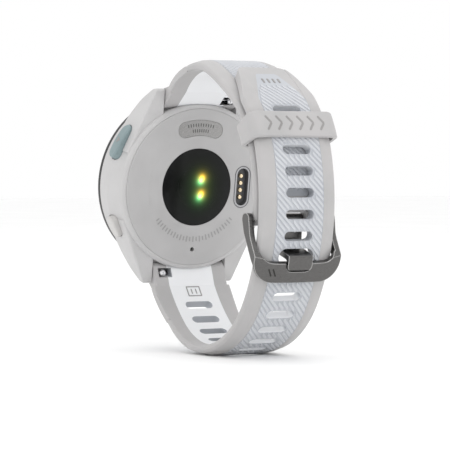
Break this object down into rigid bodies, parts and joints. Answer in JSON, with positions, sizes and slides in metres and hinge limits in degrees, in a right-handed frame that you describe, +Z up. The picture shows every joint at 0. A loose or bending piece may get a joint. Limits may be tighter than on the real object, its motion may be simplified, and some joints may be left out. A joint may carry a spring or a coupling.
{
  "type": "gps running watch",
  "caption": "Round sports watch with side buttons, rear heart-rate window and charging contacts, closed on a two-tone silicone strap with a sliding keeper and a pin buckle.",
  "frame": {"origin": "on the surface that the buckled watch stands on, under the middle of its bounding box", "axes": "+Z up as it stands on its strap, 12 o'clock side up; the display faces -Y, leaning back 8.54 degrees; +X towards 3 o'clock; the wrist space is on the +Y side of the case"},
  "size_m": [0.0439, 0.0628, 0.0698],
  "materials": {
    "case_polymer": "moulded satin",
    "cover_polymer": "fine matt",
    "start_cap": "satin",
    "button_cap": "satin",
    "steel": "satin",
    "chrome_steel": "polished",
    "spring_steel": "drawn wire",
    "seal_rubber": "matt",
    "bezel_black": "satin black",
    "front_glass": "polished",
    "display": "dark glass",
    "carrier_plastic": "moulded",
    "antenna": "plated",
    "board": "solder mask",
    "chip": "moulded",
    "battery_foil": "foil",
    "led": "clear",
    "diode": "dark window",
    "black_plastic": "matt black",
    "plate_metal": "satin",
    "membrane": "porous film",
    "sensor_glass": "polished dark",
    "brass_disc": "satin",
    "gold": "gold plated",
    "strap_grey": "silicone, matt",
    "strap_white": "silicone, matt",
    "buckle_metal": "dark satin"
  },
  "bodies": {
    "case": {"start_spring": "spring_steel", "back_spring": "spring_steel", "light_spring": "spring_steel", "up_spring": "spring_steel", "down_spring": "spring_steel", "case_body": "case_polymer", "button_seals": "seal_rubber", "bezel": "bezel_black", "lens_gasket": "seal_rubber", "front_lens": "front_glass", "display_panel": "display", "display_carrier": "carrier_plastic", "gps_antenna": "antenna", "main_board": "board", "board_chips": "chip", "board_screws": "steel", "tact_switches": "steel", "battery": "battery_foil", "vibration_motor": "steel", "sensor_board": "board", "sensor_leds": "led", "photodiodes": "diode", "light_baffle": "black_plastic", "serial_plate": "plate_metal", "vent_membrane": "membrane", "rear_cover": "cover_polymer", "rear_gasket": "seal_rubber", "sensor_lens": "sensor_glass", "buzzer": "brass_disc", "contact_block": "cover_polymer", "contact_pins": "gold", "upper_bar_tube": "steel", "upper_bar_tip": "steel", "upper_bar_spring": "spring_steel", "lower_bar_tube": "steel", "lower_bar_tip": "steel", "lower_bar_spring": "spring_steel"},
    "start_button": {"start_button": "start_cap", "start_clip": "steel"},
    "back_button": {"back_button": "button_cap", "back_clip": "steel"},
    "light_button": {"light_button": "button_cap", "light_clip": "steel"},
    "up_button": {"up_button": "button_cap", "up_clip": "steel"},
    "down_button": {"down_button": "button_cap", "down_clip": "steel"},
    "upper_plunger": {"upper_bar_plunger": "chrome_steel"},
    "lower_plunger": {"lower_bar_plunger": "chrome_steel"},
    "long_strap": {"long_strap": "strap_grey", "long_strap_inlay": "strap_white"},
    "short_strap": {"short_strap": "strap_grey", "short_strap_inlay": "strap_white", "buckle_pin": "steel"},
    "keeper": {"keeper": "strap_grey"},
    "buckle_frame": {"buckle_frame": "buckle_metal"},
    "buckle_tongue": {"buckle_tongue": "buckle_metal"}
  },
  "joints": [
    {"name": "start_press", "type": "slide", "parent": "case", "child": "start_button", "axis": [-0.8746, -0.072, -0.4794], "range_m": [0, 0.00045], "stiffness_N_per_m": 6000, "springref_m": -0.0002, "deforming": ["start_spring"]},
    {"name": "back_press", "type": "slide", "parent": "case", "child": "back_button", "axis": [-0.8746, 0.072, 0.4794], "range_m": [0, 0.00045], "stiffness_N_per_m": 6000, "springref_m": -0.0002, "deforming": ["back_spring"]},
    {"name": "light_press", "type": "slide", "parent": "case", "child": "light_button", "axis": [0.8746, -0.072, -0.4794], "range_m": [0, 0.00045], "stiffness_N_per_m": 6000, "springref_m": -0.0002, "deforming": ["light_spring"]},
    {"name": "up_press", "type": "slide", "parent": "case", "child": "up_button", "axis": [1, 0, 0], "range_m": [0, 0.00045], "stiffness_N_per_m": 6000, "springref_m": -0.0002, "deforming": ["up_spring"]},
    {"name": "down_press", "type": "slide", "parent": "case", "child": "down_button", "axis": [0.8746, 0.072, 0.4794], "range_m": [0, 0.00045], "stiffness_N_per_m": 6000, "springref_m": -0.0002, "deforming": ["down_spring"]},
    {"name": "upper_strap_hinge", "type": "hinge", "parent": "case", "child": "short_strap", "pos_m": [0.00045, -0.01679, 0.06098], "axis": [1, 0, 0], "range_deg": [-0.2, 0.2], "stiffness_Nm_per_rad": 4},
    {"name": "lower_strap_hinge", "type": "hinge", "parent": "case", "child": "long_strap", "pos_m": [0.00045, -0.02308, 0.01905], "axis": [1, 0, 0], "range_deg": [-0.2, 0.2], "stiffness_Nm_per_rad": 4},
    {"name": "upper_bar_release", "type": "slide", "parent": "case", "child": "upper_plunger", "axis": [1, 0, 0], "range_m": [0, 0.0014], "stiffness_N_per_m": 400, "springref_m": -0.002, "deforming": ["upper_bar_spring"]},
    {"name": "lower_bar_release", "type": "slide", "parent": "case", "child": "lower_plunger", "axis": [-1, 0, 0], "range_m": [0, 0.0014], "stiffness_N_per_m": 400, "springref_m": -0.002, "deforming": ["lower_bar_spring"]},
    {"name": "keeper_slide", "type": "hinge", "parent": "short_strap", "child": "keeper", "pos_m": [0.00045, 0.00294, 0.04146], "axis": [1, 0, 0], "range_deg": [0, 17.5]},
    {"name": "buckle_hinge", "type": "hinge", "parent": "short_strap", "child": "buckle_frame", "pos_m": [0.00045, 0.02602, 0.03257], "axis": [1, 0, 0], "range_deg": [0, 2]},
    {"name": "tongue_hinge", "type": "hinge", "parent": "buckle_frame", "child": "buckle_tongue", "pos_m": [0.00045, 0.02602, 0.03257], "axis": [1, 0, 0], "range_deg": [0, 1.5]}
  ]
}
